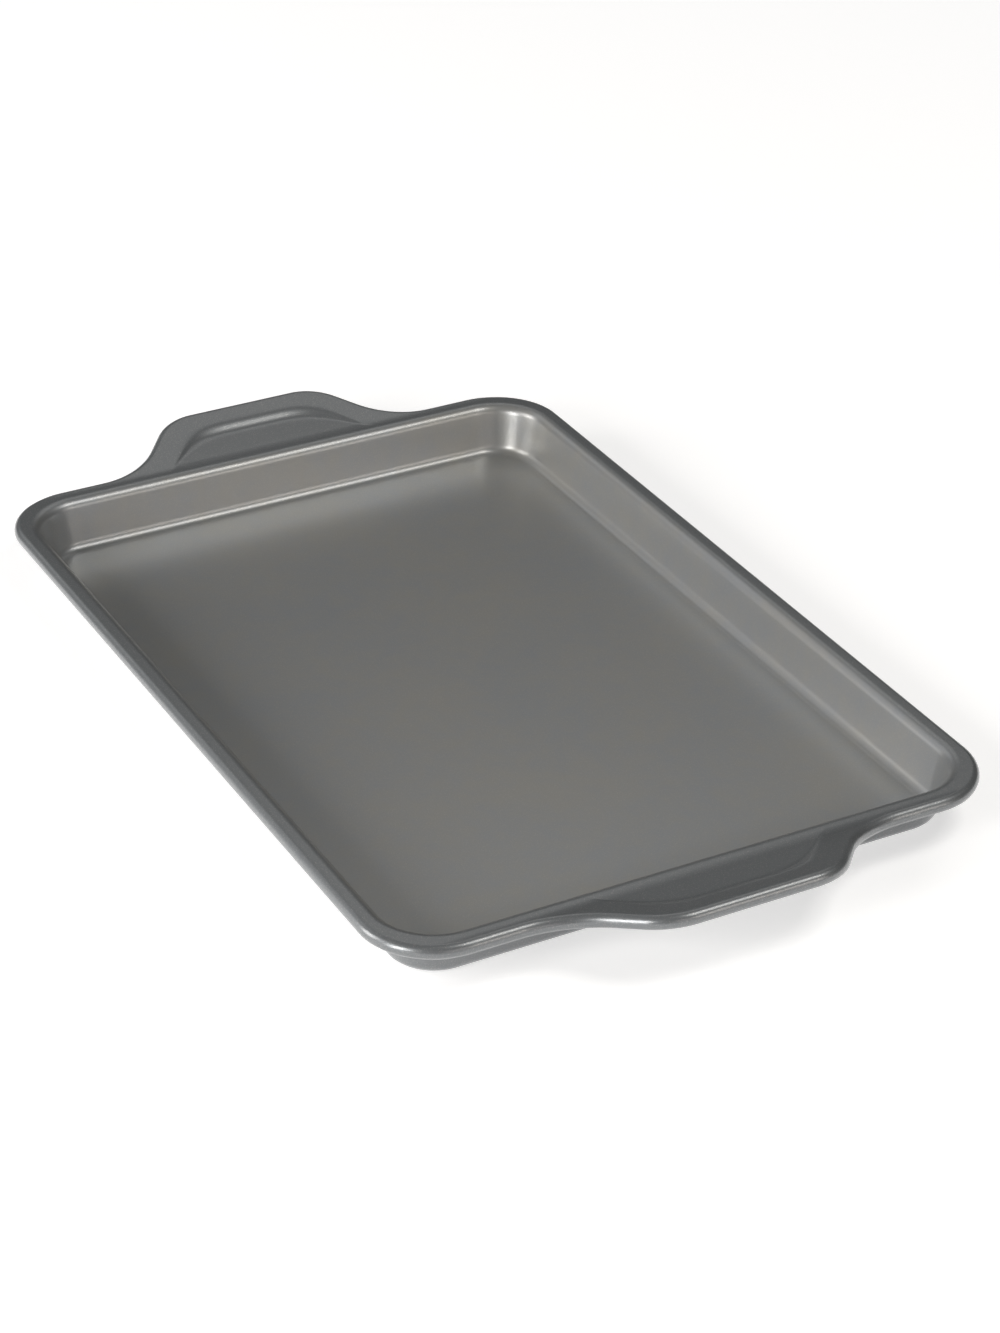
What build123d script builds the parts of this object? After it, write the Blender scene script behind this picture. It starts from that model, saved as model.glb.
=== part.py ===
from build123d import *
import os
from math import cos, hypot, radians, sin, tan

# Jelly roll pan: one pressed steel sheet with two broad end handles,
# its outer edge curled round a steel wire.
# Millimetres. X runs from handle to handle, Y across, Z up.
# The origin is the middle of the floor's underside, where the pan rests.

# The sheet
sheet_thickness = 0.9

# The tray, measured where the walls would meet the flat rim
tray_length = 384.0
tray_width = 254.0
rim_height = 23.4
wall_draft = 13.0
tray_corner_radius = 24.0
floor_bend_radius = 5.0
rim_bend_radius = 5.0

# The flat rim round the tray, out to the rolled edge's outside
end_rim_width = 11.7
side_rim_width = 10.1
rim_corner_radius = 32.0

# The rolled edge, and the wire inside it
roll_radius = 3.0
roll_turn = 292.0
roll_lap = 1.5
wire_clearance = 0.08
wire_end_gap = 0.6

# The handles, laid out on the rolled edge's middle line in the handle's own slope,
# with half their widths as shares of the tray's width
handle_slope = 14.0
handle_reach = 32.7
handle_root_share = 0.252
handle_tip_share = 0.145
handle_root_radius = 43.0
handle_tip_radius = 23.0

# The sunk panel in each handle, inside the rolled edge's middle line
panel_slope = 6.7
panel_tip_margin = 9.4
panel_side_margin = 10.9
panel_corner_radius = 12.0
panel_wall_draft = 60.0

# How far a cutting solid runs past what it cuts
overrun = 4.0

rim_length = tray_length + 2 * end_rim_width
rim_width = tray_width + 2 * side_rim_width

# The rolled edge's middle line, on which the sheet and the wire are laid out
line_half_length = rim_length / 2 - roll_radius
line_half_width = rim_width / 2 - roll_radius
line_corner_radius = rim_corner_radius - roll_radius
line_height = rim_height - roll_radius
line_straight_half_width = line_half_width - line_corner_radius

handle_root_half_width = handle_root_share * tray_width
handle_tip_half_width = handle_tip_share * tray_width

wire_radius = roll_radius - sheet_thickness - wire_clearance
slope = radians(handle_slope)
gentle_slope = radians(panel_slope)
draft = radians(wall_draft)
ends = (-1, 1)


def handle_plane(side, level=0.0):
    """One handle's slope, at a level above the rolled edge's middle line, with local X outwards."""
    line_plane = Plane(
        origin=(side * line_half_length, 0, line_height),
        x_dir=(side * cos(slope), 0, sin(slope)),
        z_dir=(-side * sin(slope), 0, cos(slope)),
    )
    return line_plane.offset(level)


def handle_half_width(out, margin):
    """Half a handle's width, grown by a margin, where its straight sides are a distance out from the rim."""
    run = handle_root_half_width - handle_tip_half_width
    slant = hypot(run, handle_reach)
    return handle_root_half_width + (margin * slant - out * run) / handle_reach


def corners_between(root, tip, margin):
    """The four corners from root to root of a handle's outline, grown by a margin, between two distances out."""
    root_half = handle_half_width(root, margin)
    tip_half = handle_half_width(tip, margin)
    return [(root, -root_half), (tip, -tip_half), (tip, tip_half), (root, root_half)]


def handle_corners(margin):
    """The corners of a handle's outline from root to root, grown by a margin."""
    return corners_between(margin, handle_reach + margin, margin)


def handle_radii(margin):
    """The radii at those corners."""
    root = handle_root_radius - margin
    tip = handle_tip_radius + margin
    return [root, tip, tip, root]


def handle_face(margin):
    """One handle's outline with a strip of the rim behind it."""
    inner = -end_rim_width / 2
    half = line_straight_half_width
    points = [(inner, -half), (margin, -half), *handle_corners(margin), (margin, half), (inner, half)]
    radii = [0, 0, *handle_radii(margin), 0, 0]
    return make_face(FilletPolyline(*points, radius=radii, close=True))


def tray_space(inset):
    """The space over the tray's skin that lies inset below the upper skin."""
    spread = inset / cos(draft)
    length = tray_length + 2 * spread
    width = tray_width + 2 * spread
    mouth = RectangleRounded(length, width, tray_corner_radius + spread)
    drop = rim_height - sheet_thickness + inset
    top = Plane.XY.offset(rim_height)
    return extrude(top * mouth, -drop, taper=wall_draft)


def rim_ground(inset, margin):
    """The ground under the flat rim, with the tray's space taken out and both bends rounded."""
    length = 2 * (line_half_length + margin)
    width = 2 * (line_half_width + margin)
    outline = RectangleRounded(length, width, line_corner_radius + margin)
    skin = rim_height - inset
    block = extrude(Plane.XY.offset(skin) * outline, -(skin + overrun + margin))
    block -= tray_space(inset)
    tray_floor = block.faces().filter_by(Plane.XY).sort_by(Axis.Z)[1]
    block = fillet(tray_floor.edges(), floor_bend_radius + inset)
    rim = block.faces().filter_by(Plane.XY).sort_by(Axis.Z)[-1]
    return fillet(rim.inner_wires()[0].edges(), rim_bend_radius - inset)


def handle_ground(side, inset, margin):
    """The ground under one handle."""
    top = handle_plane(side, roll_radius - inset)
    return extrude(top * handle_face(margin), -(rim_height + margin))


def panel_outline(inset):
    """The sunk panel's outline in the handle's slope, with sides along the handle's sides."""
    spread = inset / cos(radians(panel_wall_draft))
    tip = handle_reach - panel_tip_margin + spread
    points = corners_between(-end_rim_width / 2, tip, spread - panel_side_margin)
    radius = panel_corner_radius + spread
    return FilletPolyline(*points, radius=[0, radius, radius, 0], close=True)


def panel_wedge(inset):
    """The space over the flat rim's plane and over the sunk panel's own, which climbs less than the handle."""
    upper_fold = line_half_length - roll_radius * tan(slope / 2)
    fold = upper_fold + inset * tan(gentle_slope / 2)
    skin = rim_height - inset
    far = line_half_length + handle_reach
    corners = [(fold, skin), (far, skin + (far - fold) * tan(gentle_slope))]
    corners += [(far, rim_height + handle_reach), (fold, rim_height + handle_reach)]
    profile = make_face(Polyline(*corners, close=True))
    return extrude(Plane.XZ * profile, handle_root_half_width, both=True)


def panel_space(side, inset):
    """The space over one handle's sunk panel, which deepens from the rim towards the tip."""
    wedge = panel_wedge(inset)
    if side < 0:
        wedge = mirror(wedge, about=Plane.YZ)
    sunk_face = handle_plane(side, roll_radius) * make_face(panel_outline(inset))
    depth = handle_reach * tan(slope - gentle_slope) + inset
    return wedge & extrude(sunk_face, -depth, taper=panel_wall_draft)


def ground(inset, margin):
    """All the ground under the sheet's skin that lies inset below the upper skin."""
    solid = rim_ground(inset, margin)
    for side in ends:
        solid += handle_ground(side, inset, margin)
        solid -= panel_space(side, inset)
    return solid


def handle_run(side):
    """The rolled edge's middle line round one handle, between the two places where it leaves the rim."""
    half = line_straight_half_width
    line = FilletPolyline((0, -half), *handle_corners(0), (0, half), radius=handle_radii(0))
    off_the_rim = line.edges()[1:-1]
    return handle_plane(side) * Wire(off_the_rim)


def rim_run(side):
    """The rolled edge's middle line along one long side and round its two corners to the handles."""
    root = max(abs(handle_run(1).position_at(share).Y) for share in (0, 1))
    x, y = line_half_length, line_half_width
    points = [(x, root), (x, y), (-x, y), (-x, root)]
    if side < 0:
        points = [(-px, -py) for px, py in points]
    return Plane.XY.offset(line_height) * FilletPolyline(*points, radius=line_corner_radius)


def swept(section, run, up):
    """A section drawn with local X up and local Y outwards, swept along a run that goes anticlockwise."""
    start = Plane(origin=run @ 0, x_dir=up, z_dir=run % 0)
    return sweep(start * section, path=run)


def roll_section():
    """The curl: the sheet's edge turned outwards, under and back up, with a short lap onto the flat sheet."""
    inside = roll_radius - sheet_thickness
    outer = CenterArc((0, 0), roll_radius, 0, roll_turn)
    inner = CenterArc((0, 0), inside, 0, roll_turn)
    end = Line(outer @ 1, inner @ 1)
    lap = Polyline(inner @ 0, (inside, -roll_lap), (roll_radius, -roll_lap), outer @ 0)
    return make_face([*outer.edges(), *inner.edges(), *end.edges(), *lap.edges()])


def all_round(section):
    """A section swept along all four runs."""
    pieces = []
    for side in ends:
        pieces.append(swept(section, handle_run(side), handle_plane(side).z_dir))
        pieces.append(swept(section, rim_run(side), (0, 0, 1)))
    return pieces


def pan_shell():
    """The pressed sheet with its rolled edge."""
    sheet = ground(0, 0) - ground(sheet_thickness, overrun)
    return sheet.fuse(*all_round(roll_section()))


def rim_wire():
    """The wire inside the rolled edge, its two ends butted half way along one side."""
    first, *others = all_round(Circle(wire_radius))
    ring = first.fuse(*others)
    gap = Box(wire_end_gap, 2 * roll_radius, 2 * roll_radius)
    return ring - Pos(0, line_half_width, line_height) * gap


os.makedirs("parts", exist_ok=True)
for name, make in (("pan_shell", pan_shell), ("rim_wire", rim_wire)):
    solid = make()
    print(name, solid.is_valid, round(solid.volume, 1), len(solid.solids()))
    export_step(solid, f"parts/{name}.step")
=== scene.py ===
"""The looks of the jelly roll pan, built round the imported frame, in metres.

X runs from handle to handle, Y across and Z up. The pan rests on the plane Z = 0.
"""

import logging
from dataclasses import dataclass, fields
from enum import Enum
from math import cos, pi, radians, sin
from typing import Any, ClassVar, NamedTuple, Optional, Union

import bpy
from mathutils import Matrix, Vector


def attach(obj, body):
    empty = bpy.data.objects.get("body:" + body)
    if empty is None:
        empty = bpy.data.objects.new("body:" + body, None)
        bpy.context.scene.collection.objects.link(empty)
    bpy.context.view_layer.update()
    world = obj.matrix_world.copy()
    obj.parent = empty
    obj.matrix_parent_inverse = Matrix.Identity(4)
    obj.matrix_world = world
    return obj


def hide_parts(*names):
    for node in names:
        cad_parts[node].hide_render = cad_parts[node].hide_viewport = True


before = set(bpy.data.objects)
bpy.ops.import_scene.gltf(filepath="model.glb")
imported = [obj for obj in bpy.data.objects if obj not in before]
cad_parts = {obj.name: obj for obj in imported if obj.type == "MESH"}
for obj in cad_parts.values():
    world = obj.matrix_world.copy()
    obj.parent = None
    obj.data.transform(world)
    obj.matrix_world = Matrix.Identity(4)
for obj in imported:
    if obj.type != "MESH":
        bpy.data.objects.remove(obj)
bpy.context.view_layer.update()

LOG = logging.getLogger("jelly_roll_pan")
UP = Vector((0.0, 0.0, 1.0))

Colour = tuple[float, float, float, float]
Socket = bpy.types.NodeSocket


class Term:
    """A number socket of a node tree, with Python's arithmetic on it."""

    def __init__(self, board: "Board", socket: Socket) -> None:
        """Wraps one socket.

        Args:
            board: The board whose tree the socket is in.
            socket: The output socket that gives the number.
        """
        self.board = board
        self.socket = socket

    def apply(self, operation: str, *others: "Number") -> "Term":
        """Adds a Math node with this number first.

        Args:
            operation: The node's operation.
            others: The numbers that follow this one.

        Returns:
            The node's result.
        """
        return self.board.math(operation, self, *others)

    def __add__(self, other: "Number") -> "Term":
        """This number plus another."""
        return self.apply("ADD", other)

    def __radd__(self, other: "Number") -> "Term":
        """Another number plus this one."""
        return self.board.math("ADD", other, self)

    def __sub__(self, other: "Number") -> "Term":
        """This number less another."""
        return self.apply("SUBTRACT", other)

    def __rsub__(self, other: "Number") -> "Term":
        """Another number less this one."""
        return self.board.math("SUBTRACT", other, self)

    def __mul__(self, other: "Number") -> "Term":
        """This number times another."""
        return self.apply("MULTIPLY", other)

    def __rmul__(self, other: "Number") -> "Term":
        """Another number times this one."""
        return self.board.math("MULTIPLY", other, self)

    def __truediv__(self, other: "Number") -> "Term":
        """This number over another."""
        return self.apply("DIVIDE", other)

    def __rtruediv__(self, other: "Number") -> "Term":
        """Another number over this one."""
        return self.board.math("DIVIDE", other, self)

    def __neg__(self) -> "Term":
        """This number with its sign changed."""
        return self.apply("MULTIPLY", -1.0)

    def sine(self) -> "Term":
        """The sine of this angle."""
        return self.apply("SINE")

    def cosine(self) -> "Term":
        """The cosine of this angle."""
        return self.apply("COSINE")

    def tangent(self) -> "Term":
        """The tangent of this angle."""
        return self.apply("TANGENT")

    def root(self) -> "Term":
        """The square root of this number."""
        return self.apply("SQRT")

    def at_least(self, low: "Number") -> "Term":
        """The larger of this number and another."""
        return self.apply("MAXIMUM", low)

    def at_most(self, high: "Number") -> "Term":
        """The smaller of this number and another."""
        return self.apply("MINIMUM", high)

    def share(self, start: "Number", length: "Number") -> "Term":
        """How much of a stretch this number has passed, from 0 at its start to 1 at its end.

        Args:
            start: Where the stretch starts.
            length: How long it is.

        Returns:
            The share that is passed.
        """
        return ((self - start) / length).at_least(0.0).at_most(1.0)


Number = Union[float, Term]
Fed = Union[Number, bool, str, tuple[float, ...], Socket, list[Socket]]


class Board:
    """A node tree that is being filled."""

    def __init__(self, tree: bpy.types.NodeTree) -> None:
        """Takes over a tree and empties it.

        Args:
            tree: The shader or geometry tree.
        """
        self.tree = tree
        tree.nodes.clear()

    def add(
        self,
        kind: str,
        settings: Optional[dict[str, Any]] = None,
        sockets: Optional[dict[Union[str, int], Fed]] = None,
    ) -> bpy.types.Node:
        """Adds a node, sets it and feeds its sockets.

        Args:
            kind: The node's type.
            settings: The node's own properties, which are set first.
            sockets: What goes into each input that is named or numbered.

        Returns:
            The node.
        """
        node = self.tree.nodes.new(kind)
        for name, value in (settings or {}).items():
            setattr(node, name, value)
        for name, value in (sockets or {}).items():
            self._feed(node.inputs[name], value)
        return node

    def _feed(self, socket: Socket, value: Fed) -> None:
        """Links or sets one input.

        Args:
            socket: The input.
            value: A plain value, a Term, a socket, or a list of sockets that all go in.
        """
        if isinstance(value, list):
            for one in value:
                self._feed(socket, one)
        elif isinstance(value, Term):
            self.tree.links.new(value.socket, socket)
        elif isinstance(value, Socket):
            self.tree.links.new(value, socket)
        else:
            socket.default_value = value

    def math(self, operation: str, *values: Number) -> Term:
        """Adds a Math node.

        Args:
            operation: Its operation.
            values: Its inputs in order.

        Returns:
            Its result.
        """
        node = self.add("ShaderNodeMath", {"operation": operation}, dict(enumerate(values)))
        return Term(self, node.outputs[0])

    def vector(self, x: Number, y: Number, z: Number) -> Socket:
        """Joins three numbers in a vector."""
        return self.add("ShaderNodeCombineXYZ", sockets={"X": x, "Y": y, "Z": z}).outputs[0]

    def parts_of(self, vector: Socket) -> tuple[Term, Term, Term]:
        """Splits a vector or a colour into its three numbers."""
        x, y, z = self.add("ShaderNodeSeparateXYZ", sockets={0: vector}).outputs
        return Term(self, x), Term(self, y), Term(self, z)


class Side(Enum):
    """The side that a round leg turns to."""

    LEFT = 1.0
    RIGHT = -1.0


class Straight(NamedTuple):
    """A straight leg of a bent line, and how much of it is passed."""

    length: Number
    share: Number


class Arc(NamedTuple):
    """A round leg of a bent line, and how much of it is passed."""

    radius: Number
    turn: Number
    share: Number
    side: Side


class Place(NamedTuple):
    """A point of a bent line, and the angle that the line heads in there."""

    x: Number
    y: Number
    heading: Number


def sine(angle: Number) -> Number:
    """The sine of an angle that is known now or in the tree."""
    return angle.sine() if isinstance(angle, Term) else sin(angle)


def cosine(angle: Number) -> Number:
    """The cosine of an angle that is known now or in the tree."""
    return angle.cosine() if isinstance(angle, Term) else cos(angle)


def follow(start: Place, legs: list[Union[Straight, Arc]]) -> Place:
    """The place on a line of straight and round legs, each of which is passed by its own share.

    Args:
        start: Where the line starts, and its heading there.
        legs: The legs in order.

    Returns:
        The place that is reached.
    """
    x, y, heading = start
    leg_heading = start.heading
    for leg in legs:
        if isinstance(leg, Straight):
            x = x + leg.length * cosine(leg_heading) * leg.share
            y = y + leg.length * sine(leg_heading) * leg.share
            continue
        side = leg.side.value
        passed = leg_heading + leg.turn * leg.share * side
        x = x + side * leg.radius * (sine(passed) - sine(leg_heading))
        y = y - side * leg.radius * (cosine(passed) - cosine(leg_heading))
        heading = heading + leg.turn * leg.share * side
        leg_heading = leg_heading + leg.turn * side
    return Place(x, y, heading)


class Bands:
    """Rows or columns of a grid in named bands, in order."""

    def __init__(self, **counts: int) -> None:
        """Lays the bands out.

        Args:
            counts: How many rows or columns each band has.
        """
        self.counts = counts
        self.total = sum(counts.values())

    def share(self, line: Term, name: str) -> Term:
        """How much of a band a row or column has passed.

        Args:
            line: The number of the row or column.
            name: The band.

        Returns:
            0 before the band, 1 after it, and the share in it.
        """
        names = list(self.counts)
        before = sum(self.counts[n] for n in names[: names.index(name)])
        return line.share(float(before), float(self.counts[name]))


def title(name: str) -> str:
    """A field's name as the title of an input, such as Rim Height."""
    return name.replace("_", " ").title()


class Size:
    """The sizes of a piece as terms in its tree, under the names of its dataclass fields."""

    def __init__(self, board: Board, group: bpy.types.Node) -> None:
        """Takes the tree's inputs.

        Args:
            board: The board that is filled.
            group: The tree's Group Input node.
        """
        self.board = board
        self.group = group

    def __getattr__(self, name: str) -> Term:
        """The size of that name."""
        return Term(self.board, self.group.outputs[title(name)])


def linked(name: str, data: bpy.types.ID) -> bpy.types.Object:
    """Makes an object and links it to the scene.

    Args:
        name: Its name.
        data: Its mesh, light or camera.

    Returns:
        The object.
    """
    thing = bpy.data.objects.new(name, data)
    bpy.context.scene.collection.objects.link(thing)
    return thing


@dataclass(frozen=True)
class PanShell:
    """The pressed sheet of the pan with its rolled edge.

    A grid of columns along the rim and rows across the sheet makes a quarter of the pan,
    which is mirrored twice. It is first laid out with the handle level with the rim.
    The distance out is then counted from the rolled edge's middle line at the end,
    and the level up from that line. Last of all, the handle is folded up.

    OUTSIDE names the mesh's own attribute that is 0 in the tray and 1 from the rim's
    bend outwards and underneath. It fades in over a part of that bend. The coating gives
    these rows its darker tone, which on the outer walls and underside is painted shade.
    """

    # The sheet and the tray, measured where the walls would meet the flat rim
    sheet_thickness: float = 0.0009
    tray_length: float = 0.384
    tray_width: float = 0.254
    rim_height: float = 0.0234
    wall_draft: float = radians(13.0)
    tray_corner_radius: float = 0.024
    floor_bend_radius: float = 0.005
    rim_bend_radius: float = 0.005

    # The rolled edge, and its middle line
    line_length: float = 0.4014
    line_width: float = 0.2682
    line_corner_radius: float = 0.029
    roll_radius: float = 0.003
    roll_turn: float = radians(292.0)

    # The handles, laid out in their own slope
    handle_slope: float = radians(14.0)
    handle_fold: float = 0.006
    handle_reach: float = 0.0327
    handle_root_half_width: float = 0.064
    handle_tip_half_width: float = 0.03683
    handle_root_radius: float = 0.043
    handle_tip_radius: float = 0.023

    # The sunk panel in each handle
    panel_slope: float = radians(6.7)
    panel_tip_margin: float = 0.0094
    panel_side_margin: float = 0.0109
    panel_corner_round: float = 0.016
    panel_wall_draft: float = radians(60.0)
    panel_bend: float = 0.0020

    COLUMNS: ClassVar[Bands] = Bands(
        tip=30, tip_bend=24, slant=10, root_bend=36, rim=8, corner=20, side=12
    )
    ROWS: ClassVar[Bands] = Bands(
        floor=6,
        floor_bend=8,
        wall=4,
        rim_bend=8,
        flat=44,
        roll=20,
        roll_end=1,
        roll_back=9,
        flat_back=30,
        rim_bend_back=6,
        wall_back=2,
        floor_bend_back=6,
        floor_back=3,
    )
    GRID_HALF: ClassVar[float] = 0.5
    MIRRORS: ClassVar[tuple[tuple[float, float, float], ...]] = (
        (-1.0, 1.0, 1.0),
        (1.0, -1.0, 1.0),
    )
    OUTSIDE: ClassVar[str] = "outside"
    OUTSIDE_FROM: ClassVar[float] = 0.55
    OUTSIDE_RUN: ClassVar[float] = 0.35
    MERGE: ClassVar[float] = 0.00001
    SHARP: ClassVar[float] = radians(50.0)

    def build(self, finish: bpy.types.Material) -> bpy.types.Object:
        """Makes the shell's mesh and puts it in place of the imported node.

        Args:
            finish: The coating.

        Returns:
            The piece.
        """
        tree = self._tree()
        shell = linked("coated_shell", bpy.data.meshes.new("coated_shell"))
        modifier = shell.modifiers.new("pressing", "NODES")
        modifier.node_group = tree
        values: dict[str, Any] = {title(f.name): getattr(self, f.name) for f in fields(self)}
        values["Finish"] = finish
        for item in tree.interface.items_tree:
            if item.in_out == "INPUT":
                modifier[item.identifier] = values[item.name]
        graph = bpy.context.evaluated_depsgraph_get()
        mesh = bpy.data.meshes.new_from_object(shell.evaluated_get(graph), depsgraph=graph)
        shell.modifiers.remove(modifier)
        shell.data = mesh
        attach(shell, "root")
        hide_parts("pan_shell")
        return shell

    def _tree(self) -> bpy.types.NodeTree:
        """The Geometry Nodes tree that lays a grid along and across the sheet.

        Returns:
            The tree, with one input for each size and one for the finish.
        """
        tree = bpy.data.node_groups.new("pressed_shell", "GeometryNodeTree")
        kinds = {title(field.name): "NodeSocketFloat" for field in fields(self)}
        kinds["Finish"] = "NodeSocketMaterial"
        for name, kind in kinds.items():
            tree.interface.new_socket(name, in_out="INPUT", socket_type=kind)
        tree.interface.new_socket(
            "Geometry", in_out="OUTPUT", socket_type="NodeSocketGeometry"
        )
        board = Board(tree)
        group = board.add("NodeGroupInput")
        grid = board.add(
            "GeometryNodeMeshGrid",
            sockets={
                "Size X": 2 * self.GRID_HALF,
                "Size Y": 2 * self.GRID_HALF,
                "Vertices X": self.COLUMNS.total + 1,
                "Vertices Y": self.ROWS.total + 1,
            },
        )
        spot = board.add("GeometryNodeInputPosition").outputs[0]
        along, across, _ = board.parts_of(spot)
        column = self._line_number(along, self.COLUMNS)
        row = self._line_number(across, self.ROWS)
        marked = self._marked(board, grid.outputs["Mesh"], row)
        place = self._place(board, Size(board, group), column, row)
        quarter = board.add(
            "GeometryNodeSetPosition", sockets={"Geometry": marked, "Position": place}
        ).outputs[0]
        part = board.add("GeometryNodeFlipFaces", sockets={"Mesh": quarter}).outputs[0]
        for scale in self.MIRRORS:
            part = self._with_image(board, part, scale)
        self._finish(board, part, group.outputs["Finish"])
        return tree

    def _line_number(self, place: Term, bands: Bands) -> Term:
        """The number of a row or column, from its place on the unit grid."""
        return ((place + self.GRID_HALF) * bands.total).apply("ROUND")

    def _marked(self, board: Board, grid: Socket, row: Term) -> Socket:
        """Marks the rows outside the tray, while the grid is still flat, for the darker tone
        that is painted shade on the outer walls and underside.

        Args:
            board: The board that is filled.
            grid: The grid.
            row: The number of the row.

        Returns:
            The grid with its attribute.
        """
        past_bend = self.ROWS.share(row, "rim_bend")
        return board.add(
            "GeometryNodeStoreNamedAttribute",
            {"data_type": "FLOAT", "domain": "POINT"},
            {
                "Geometry": grid,
                "Name": self.OUTSIDE,
                "Value": past_bend.share(self.OUTSIDE_FROM, self.OUTSIDE_RUN),
            },
        ).outputs[0]

    def _with_image(
        self, board: Board, part: Socket, scale: tuple[float, float, float]
    ) -> Socket:
        """A part of the shell together with its mirror image.

        Args:
            board: The board that is filled.
            part: The part.
            scale: The scale that mirrors it.

        Returns:
            Both as one geometry.
        """
        image = board.add(
            "GeometryNodeTransform", sockets={"Geometry": part, "Scale": scale}
        ).outputs[0]
        turned = board.add("GeometryNodeFlipFaces", sockets={"Mesh": image}).outputs[0]
        return board.add("GeometryNodeJoinGeometry", sockets={0: [part, turned]}).outputs[0]

    def _finish(self, board: Board, shell: Socket, finish: Socket) -> None:
        """Closes the seams of the shell, shades it and gives it its material.

        Args:
            board: The board that is filled.
            shell: The four quarters.
            finish: The input that holds the material.
        """
        closed = board.add(
            "GeometryNodeMergeByDistance", sockets={"Geometry": shell, "Distance": self.MERGE}
        ).outputs[0]
        smooth = board.add(
            "GeometryNodeSetShadeSmooth", {"domain": "FACE"}, {"Geometry": closed}
        ).outputs[0]
        angle = Term(board, board.add("GeometryNodeInputMeshEdgeAngle").outputs[0])
        creased = board.add(
            "GeometryNodeSetShadeSmooth",
            {"domain": "EDGE"},
            {
                "Geometry": smooth,
                "Selection": angle.apply("GREATER_THAN", self.SHARP),
                "Shade Smooth": False,
            },
        ).outputs[0]
        real = board.add("GeometryNodeRealizeInstances", sockets={0: creased}).outputs[0]
        coated = board.add(
            "GeometryNodeSetMaterial", sockets={"Geometry": real, "Material": finish}
        ).outputs[0]
        board.add("NodeGroupOutput", sockets={0: coated})

    def _place(self, board: Board, size: Size, column: Term, row: Term) -> Socket:
        """Where a vertex of the grid goes, in the quarter of the pan with positive X and Y.

        Args:
            board: The board that is filled.
            size: The sizes.
            column: How far along the rim the vertex is, from the handle's middle to the side's.
            row: How far across the sheet it is, from the floor's middle out, round and back.

        Returns:
            The vertex's place.
        """
        edge = self._edge_line(size, column)
        across_edge = edge.y / (size.line_width / 2 - size.line_corner_radius)
        mouth = self._mouth_line(size, column, across_edge)
        section = self._section(size, row)
        inset = self.ROWS.share(row, "roll_end") * size.sheet_thickness
        spread = section.x + inset * sine(section.heading)
        floor = self._up_and_back(row, "floor")
        flat = self._up_and_back(row, "flat")
        turn = self._up_and_back(row, "roll") * size.roll_turn
        radius = size.roll_radius - inset
        aside = radius * turn.sine()
        tray_x = (mouth.x + spread * sine(mouth.heading)) * floor
        tray_y = (mouth.y - spread * cosine(mouth.heading)) * floor
        x = tray_x + (edge.x + size.line_length / 2 - tray_x) * flat
        y = tray_y + (edge.y - tray_y) * flat
        x = x + aside * sine(edge.heading)
        y = y - aside * cosine(edge.heading)
        level = radius * turn.cosine() + section.y + inset * (1.0 - cosine(section.heading))
        out = x - size.line_length / 2
        level = level - self._sunk(size, out, y)
        return self._folded(board, size, out, y, level)

    def _up_and_back(self, row: Term, name: str) -> Term:
        """How much of a band the sheet has passed, on its way out less on its way back.

        Args:
            row: The number of the row.
            name: The band on the way out.

        Returns:
            The share, which is 0 again once the sheet has come back.
        """
        return self.ROWS.share(row, name) - self.ROWS.share(row, name + "_back")

    def _handle_side(self, size: Size) -> tuple[Term, Term]:
        """The straight side of a handle's outline, before its corners are rounded.

        Args:
            size: The sizes.

        Returns:
            How far it runs in from the root to the tip, and its length along the slant.
        """
        run = size.handle_root_half_width - size.handle_tip_half_width
        return run, (run * run + size.handle_reach * size.handle_reach).root()

    def _edge_line(self, size: Size, column: Term) -> Place:
        """The rolled edge's middle line from the handle's middle to the long side's.

        Args:
            size: The sizes.
            column: The number of the column.

        Returns:
            The place, with X counted from the line's straight part at the end.
        """
        run, slant = self._handle_side(size)
        turn = size.handle_reach.apply("ARCTAN2", run)
        tip_cut = size.handle_tip_radius * (turn / 2).tangent()
        root_cut = size.handle_root_radius * (turn / 2).tangent()
        rim = size.line_width / 2 - size.line_corner_radius - size.handle_root_half_width
        side = size.line_length / 2 - size.line_corner_radius
        share = {name: self.COLUMNS.share(column, name) for name in self.COLUMNS.counts}
        legs = [
            Straight(size.handle_tip_half_width - tip_cut, share["tip"]),
            Arc(size.handle_tip_radius, turn, share["tip_bend"], Side.LEFT),
            Straight(slant - tip_cut - root_cut, share["slant"]),
            Arc(size.handle_root_radius, turn, share["root_bend"], Side.RIGHT),
            Straight(rim - root_cut, share["rim"]),
            Arc(size.line_corner_radius, pi / 2, share["corner"], Side.LEFT),
            Straight(side, share["side"]),
        ]
        return follow(Place(size.handle_reach, 0.0, pi / 2), legs)

    def _mouth_line(self, size: Size, column: Term, end_share: Term) -> Place:
        """The tray's mouth, where its walls would meet the flat rim.

        Args:
            size: The sizes.
            column: The number of the column.
            end_share: How much of the end's straight is passed.

        Returns:
            The place, from the pan's middle.
        """
        radius = size.tray_corner_radius
        legs = [
            Straight(size.tray_width / 2 - radius, end_share.at_most(1.0)),
            Arc(radius, pi / 2, self.COLUMNS.share(column, "corner"), Side.LEFT),
            Straight(size.tray_length / 2 - radius, self.COLUMNS.share(column, "side")),
        ]
        return follow(Place(size.tray_length / 2, 0.0, pi / 2), legs)

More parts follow.
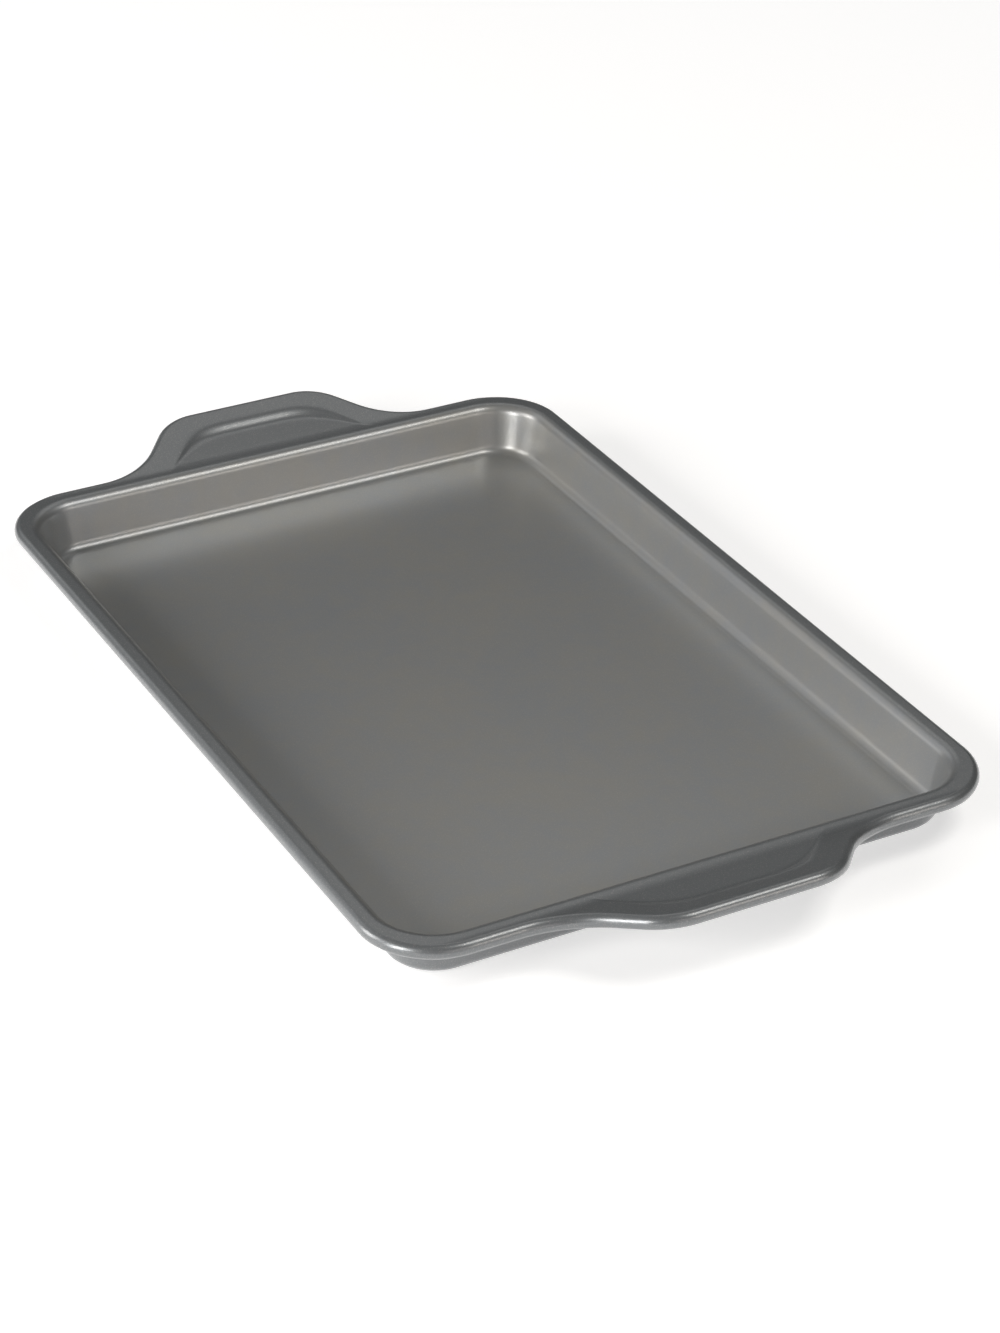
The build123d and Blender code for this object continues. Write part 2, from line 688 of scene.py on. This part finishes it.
    def _section(self, size: Size, row: Term) -> Place:
        """The upper skin from the floor's edge up to the flat rim.

        Args:
            size: The sizes.
            row: The number of the row.

        Returns:
            How far outside the mouth the skin is, how far above the rim, and how steep.
        """
        steep = pi / 2 - size.wall_draft
        depth = size.rim_height - size.sheet_thickness
        floor_cut = size.floor_bend_radius * (steep / 2).tangent()
        rim_cut = size.rim_bend_radius * (steep / 2).tangent()
        start = Place(-(depth * size.wall_draft.tangent() + floor_cut), -depth, 0.0)
        wall = depth / size.wall_draft.cosine() - floor_cut - rim_cut
        floor_share, wall_share, rim_share = (
            self._up_and_back(row, name) for name in ("floor_bend", "wall", "rim_bend")
        )
        legs = [
            Arc(size.floor_bend_radius, steep, floor_share, Side.LEFT),
            Straight(wall, wall_share),
            Arc(size.rim_bend_radius, steep, rim_share, Side.RIGHT),
        ]
        return follow(start, legs)

    def _sunk(self, size: Size, out: Term, across: Term) -> Term:
        """How far the panel in the handle lies below the handle's face.

        Args:
            size: The sizes.
            out: The distance out from the rolled edge's line at the end.
            across: The distance from the pan's middle plane.

        Returns:
            The depth, which is zero outside the panel.
        """
        run, slant = self._handle_side(size)
        half = size.handle_root_half_width - out * run / size.handle_reach
        beside = (half - across) * size.handle_reach / slant - size.panel_side_margin
        before = size.handle_reach - size.panel_tip_margin - out
        inside = beside.apply("SMOOTH_MIN", before, size.panel_corner_round)
        full = out.apply("SMOOTH_MAX", 0.0, size.handle_fold)
        full = full * (size.handle_slope - size.panel_slope).tangent()
        wall = inside / size.panel_wall_draft.tangent()
        bend = full.at_most(size.panel_bend)
        return wall.apply("SMOOTH_MIN", full, bend).apply("SMOOTH_MAX", 0.0, bend)

    def _folded(
        self, board: Board, size: Size, out: Term, across: Term, level: Term
    ) -> Socket:
        """Folds the handle up to its slope along the rolled edge's line.

        Args:
            board: The board that is filled.
            size: The sizes.
            out: The distance out from the line.
            across: The distance from the pan's middle plane.
            level: The height over the line.

        Returns:
            The place in the pan's own frame.
        """
        half = size.handle_fold / 2
        radius = size.handle_fold / size.handle_slope
        passed = out.share(-half, size.handle_fold)
        beyond = (out - half).at_least(0.0)
        legs = [Arc(radius, size.handle_slope, passed, Side.LEFT), Straight(beyond, 1.0)]
        fold = follow(Place(out.at_most(-half), 0.0, 0.0), legs)
        x = size.line_length / 2 + fold.x - level * sine(fold.heading)
        z = size.rim_height - size.roll_radius + fold.y + level * cosine(fold.heading)
        return board.vector(x, across, z)


@dataclass(frozen=True)
class RimWire:
    """The steel wire inside the rolled edge, which stays as packed."""

    node: str = "rim_wire"

    def dress(self, finish: bpy.types.Material) -> bpy.types.Object:
        """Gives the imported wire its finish.

        Args:
            finish: The bare steel.

        Returns:
            The piece.
        """
        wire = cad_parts[self.node]
        for slot in wire.material_slots:
            slot.material = finish
        return wire


@dataclass(frozen=True)
class Finish:
    """A finish that builds its material, from noises that run from 0 to 1."""

    name: str

    NOISE_MIDDLE: ClassVar[float] = 0.5

    def make(self) -> bpy.types.Material:
        """Builds the material.

        Returns:
            The material.
        """
        material = bpy.data.materials.new(self.name)
        material.use_nodes = True
        board = Board(material.node_tree)
        board.add("ShaderNodeOutputMaterial", sockets={"Surface": self._surface(board)})
        return material

    def _surface(self, board: Board) -> Socket:
        """The finish's own shader, which each kind of finish gives."""
        raise NotImplementedError

    def _own_place(self, board: Board) -> Socket:
        """The place in the piece's own frame."""
        return board.add("ShaderNodeTexCoord").outputs["Object"]

    def _noise(self, board: Board, place: Socket, scale: float, detail: float) -> Term:
        """Adds a noise of one scale, from 0 to 1."""
        sockets = {"Vector": place, "Scale": scale, "Detail": detail}
        return Term(board, board.add("ShaderNodeTexNoise", sockets=sockets).outputs[0])


@dataclass(frozen=True)
class NonstickCoating(Finish):
    """A dark satin coating with fine bright flecks, on pressed steel.

    The numbers that start with MIX are those of the Mix node's sockets for colours,
    because its sockets for other kinds of values have the same names.
    """

    name: str = "nonstick_coating"

    # The tray's two tones, the rim's darker tone, which is also painted shade on the outer
    # walls and underside, and the flecks'
    cool: Colour = (0.295, 0.309, 0.320, 1.0)
    warm: Colour = (0.322, 0.320, 0.302, 1.0)
    warm_from: float = 0.36
    warm_run: float = 0.28
    # Darker, cooler tone of the rim, handles and rolled edge; on the outer walls and underside
    # it is painted shade under the rolled edge
    rim: Colour = (0.187, 0.200, 0.209, 1.0)
    fleck: Colour = (0.380, 0.370, 0.345, 1.0)

    # The gloss
    metallic: float = 0.50
    roughness: float = 0.40
    coat: float = 1.0
    coat_roughness: float = 0.24
    roughness_change: float = 0.05
    fleck_roughness: float = 0.10

    # The clouds, the finer mottle, the skin's faint peel and the flecks
    cloud_scale: float = 16.0
    cloud_detail: float = 3.0
    cloud_share: float = 0.65
    mottle_scale: float = 130.0
    peel_scale: float = 750.0
    fine_detail: float = 2.0
    peel_height: float = 0.000008
    fleck_scale: float = 4200.0
    fleck_share: float = 0.10
    fleck_strength: float = 0.45

    MIX_SHARE: ClassVar[int] = 0
    MIX_FIRST: ClassVar[int] = 6
    MIX_SECOND: ClassVar[int] = 7
    MIX_RESULT: ClassVar[int] = 2

    def _surface(self, board: Board) -> Socket:
        """A half metallic, softly rough base under a clear coat.

        Args:
            board: The board that is filled.

        Returns:
            The shader.
        """
        place = self._own_place(board)
        clouds = self._noise(board, place, self.cloud_scale, self.cloud_detail)
        mottle = self._noise(board, place, self.mottle_scale, self.fine_detail)
        peel = self._noise(board, place, self.peel_scale, self.fine_detail)
        flecks = self._flecks(board, place)
        smudge = (clouds + mottle - 2 * self.NOISE_MIDDLE) * self.roughness_change
        bump = board.add(
            "ShaderNodeBump", sockets={"Distance": self.peel_height, "Height": peel}
        )
        shader = board.add(
            "ShaderNodeBsdfPrincipled",
            sockets={
                "Base Color": self._colour(board, clouds, mottle, flecks),
                "Metallic": self.metallic,
                "Roughness": self.roughness + smudge - flecks * self.fleck_roughness,
                "Coat Weight": self.coat,
                "Coat Roughness": self.coat_roughness,
                "Normal": bump.outputs[0],
            },
        )
        return shader.outputs[0]

    def _colour(self, board: Board, clouds: Term, mottle: Term, flecks: Term) -> Socket:
        """Mixes the tray's cool and warm tones, the rim's darker tone, which is also painted
        shade on the outer walls and underside, and the flecks.

        Args:
            board: The board that is filled.
            clouds: The broad noise.
            mottle: The finer noise.
            flecks: Where the flecks are.

        Returns:
            The colour.
        """
        tint = clouds * self.cloud_share + mottle * (1.0 - self.cloud_share)
        warmth = tint.share(self.warm_from, self.warm_run)
        tray = self._mix(board, warmth, self.cool, self.warm)
        # The rows outside the tray take the rim tone; on the outer walls and underside that is
        # painted shade
        outside = board.add("ShaderNodeAttribute", {"attribute_name": PanShell.OUTSIDE})
        tone_with_painted_shade = self._mix(board, outside.outputs["Fac"], tray, self.rim)
        return self._mix(board, flecks * self.fleck_strength, tone_with_painted_shade, self.fleck)

    def _flecks(self, board: Board, place: Socket) -> Term:
        """Picks a few of the coating's fine grains as flecks.

        Args:
            board: The board that is filled.
            place: The place in the pan's own frame.

        Returns:
            1 on a fleck and 0 beside it.
        """
        cells = board.add(
            "ShaderNodeTexVoronoi", sockets={"Vector": place, "Scale": self.fleck_scale}
        )
        chance, _, _ = board.parts_of(cells.outputs["Color"])
        return chance.apply("LESS_THAN", self.fleck_share)

    def _mix(self, board: Board, share: Fed, first: Fed, second: Fed) -> Socket:
        """Mixes two colours.

        Args:
            board: The board that is filled.
            share: The share of the second colour.
            first: The first colour.
            second: The second colour.

        Returns:
            The colour between them.
        """
        sockets = {self.MIX_SHARE: share, self.MIX_FIRST: first, self.MIX_SECOND: second}
        mixed = board.add("ShaderNodeMix", {"data_type": "RGBA"}, sockets)
        return mixed.outputs[self.MIX_RESULT]


@dataclass(frozen=True)
class BareSteel(Finish):
    """Drawn steel wire with fine marks."""

    name: str = "wire_steel"
    colour: Colour = (0.42, 0.41, 0.40, 1.0)
    metallic: float = 1.0
    roughness: float = 0.38
    roughness_change: float = 0.2
    mark_scale: float = 600.0
    mark_detail: float = 2.0

    def _surface(self, board: Board) -> Socket:
        """Steel that is rougher and smoother in its marks.

        Args:
            board: The board that is filled.

        Returns:
            The shader.
        """
        marks = self._noise(board, self._own_place(board), self.mark_scale, self.mark_detail)
        rough = self.roughness + (marks - self.NOISE_MIDDLE) * self.roughness_change
        shader = board.add(
            "ShaderNodeBsdfPrincipled",
            sockets={
                "Base Color": self.colour,
                "Metallic": self.metallic,
                "Roughness": rough,
            },
        )
        return shader.outputs[0]


@dataclass(frozen=True)
class TableWhite(Finish):
    """Matt white that is seen a little lighter than it is lit, more so far from the pan."""

    name: str = "pale_table"
    colour: Colour = (0.80, 0.80, 0.80, 1.0)
    lift: float = 0.55
    far_lift: float = 0.25
    far_start: float = 0.35
    far_run: float = 1.60

    def _surface(self, board: Board) -> Socket:
        """A matt surface, with a glow that lights nothing and only lifts how it is seen.

        Args:
            board: The board that is filled.

        Returns:
            The shader.
        """
        matt = board.add("ShaderNodeBsdfDiffuse", sockets={"Color": self.colour})
        x, y, _ = board.parts_of(self._own_place(board))
        far = (x * x + y * y).root().share(self.far_start, self.far_run)
        rays = board.add("ShaderNodeLightPath")
        seen = Term(board, rays.outputs["Is Camera Ray"])
        for ray in ("Is Glossy Ray", "Is Transmission Ray"):
            seen = seen.at_least(Term(board, rays.outputs[ray]))
        strength = seen * (self.lift + far * self.far_lift)
        glow = board.add("ShaderNodeEmission", sockets={"Strength": strength})
        both = {0: matt.outputs[0], 1: glow.outputs[0]}
        return board.add("ShaderNodeAddShader", sockets=both).outputs[0]


@dataclass(frozen=True)
class PaleTable:
    """The plain white surface that the pan stands on, which lies just below its floor."""

    name: str = "pale_table"
    half_size: float = 12.0
    drop: float = 0.0003

    def build(self, finish: bpy.types.Material) -> bpy.types.Object:
        """Makes the table, which isn't part of the pan.

        Args:
            finish: The table's white.

        Returns:
            The table.
        """
        half = self.half_size
        corners = [(-half, -half), (half, -half), (half, half), (-half, half)]
        mesh = bpy.data.meshes.new(self.name)
        mesh.from_pydata([(x, y, -self.drop) for x, y in corners], [], [(0, 1, 2, 3)])
        mesh.materials.append(finish)
        table = linked(self.name, mesh)
        return table


def direction(azimuth: float, elevation: float) -> Vector:
    """The direction from the pan's middle to a place round it.

    Args:
        azimuth: The angle from +X towards +Y, in degrees.
        elevation: The angle up from the table, in degrees.

    Returns:
        The direction, of length 1.
    """
    around, up = radians(azimuth), radians(elevation)
    return Vector((cos(around) * cos(up), sin(around) * cos(up), sin(up)))


class SoftBox(NamedTuple):
    """A flat lamp that points at the pan's middle, with its angles in degrees."""

    name: str
    azimuth: float
    elevation: float
    distance: float
    width: float
    height: float
    radiance: float
    colour: tuple[float, float, float]

    def power(self) -> float:
        """The power that gives the lamp's face its radiance."""
        return self.radiance * pi * self.width * self.height


@dataclass(frozen=True)
class Studio:
    """Soft lamps, a dim grey surround and the camera at the photograph's angle."""

    surround: float = 0.035
    lamps: tuple[SoftBox, ...] = (
        SoftBox("overhead", 46.0, 60.0, 1.6, 0.60, 0.60, 6.4, (1.00, 0.98, 0.94)),
        SoftBox("left", 291.0, 20.0, 1.6, 0.50, 0.80, 12.2, (1.00, 0.98, 0.96)),
        SoftBox("left_back", 247.0, 22.0, 1.6, 0.62, 0.85, 6.9, (1.00, 0.97, 0.95)),
        SoftBox("front", 355.0, 18.0, 1.6, 0.60, 0.60, 1.2, (1.00, 0.92, 0.90)),
        SoftBox("front_right", 25.0, 20.0, 1.6, 0.60, 0.60, 2.9, (1.00, 0.93, 0.87)),
        SoftBox("back_right", 146.0, 47.0, 1.7, 0.90, 0.68, 0.72, (1.00, 0.99, 0.97)),
        SoftBox("back", 200.0, 40.0, 1.7, 0.90, 0.90, 0.60, (0.98, 0.99, 1.00)),
    )
    camera_azimuth: float = -28.283
    camera_elevation: float = 30.385
    camera_roll: float = radians(0.370)
    camera_distance: float = 1.52638
    camera_target: tuple[float, float, float] = (-0.00571, 0.01815, 0.0)
    camera_lens: float = 95.312

    def build(self) -> None:
        """Sets the world, hangs the lamps and places the camera."""
        self._world()
        for lamp in self.lamps:
            self._hang(lamp)
        self._camera()
        bpy.context.scene.view_settings.view_transform = "Standard"

    def _world(self) -> None:
        """Gives the surround its plain grey."""
        world = bpy.data.worlds.new("surround")
        world.use_nodes = True
        board = Board(world.node_tree)
        grey = (self.surround, self.surround, self.surround, 1.0)
        light = board.add("ShaderNodeBackground", sockets={"Color": grey})
        board.add("ShaderNodeOutputWorld", sockets={"Surface": light.outputs[0]})
        bpy.context.scene.world = world

    def _hang(self, lamp: SoftBox) -> bpy.types.Object:
        """Makes one lamp.

        Args:
            lamp: Its place, size and light.

        Returns:
            The lamp.
        """
        data = bpy.data.lights.new(lamp.name, "AREA")
        data.shape = "RECTANGLE"
        data.size = lamp.width
        data.size_y = lamp.height
        data.energy = lamp.power()
        data.color = lamp.colour
        away = direction(lamp.azimuth, lamp.elevation)
        box = linked(lamp.name, data)
        box.location = away * lamp.distance
        box.rotation_euler = away.to_track_quat("Z", "Y").to_euler()
        return box

    def _camera(self) -> bpy.types.Object:
        """Places the camera where the photograph was taken from.

        Returns:
            The camera.
        """
        back = direction(self.camera_azimuth, self.camera_elevation)
        level_right = UP.cross(back).normalized()
        level_up = back.cross(level_right)
        roll = self.camera_roll
        right = level_right * cos(roll) + level_up * sin(roll)
        up = level_up * cos(roll) - level_right * sin(roll)
        data = bpy.data.cameras.new("camera")
        data.lens = self.camera_lens
        camera = linked("camera", data)
        turned = Matrix((right, up, back)).transposed().to_4x4()
        place = Vector(self.camera_target) + back * self.camera_distance
        camera.matrix_world = Matrix.Translation(place) @ turned
        bpy.context.scene.camera = camera
        return camera


def main() -> None:
    """Builds each piece in order and reports it."""
    logging.basicConfig(level=logging.INFO, format="%(message)s")
    shell = PanShell().build(NonstickCoating().make())
    LOG.info("%s: %d faces", shell.name, len(shell.data.polygons))
    wire = RimWire().dress(BareSteel().make())
    LOG.info("%s: %d faces", wire.name, len(wire.data.polygons))
    table = PaleTable().build(TableWhite().make())
    LOG.info("%s is the stage", table.name)
    Studio().build()


if __name__ == "__main__":
    main()
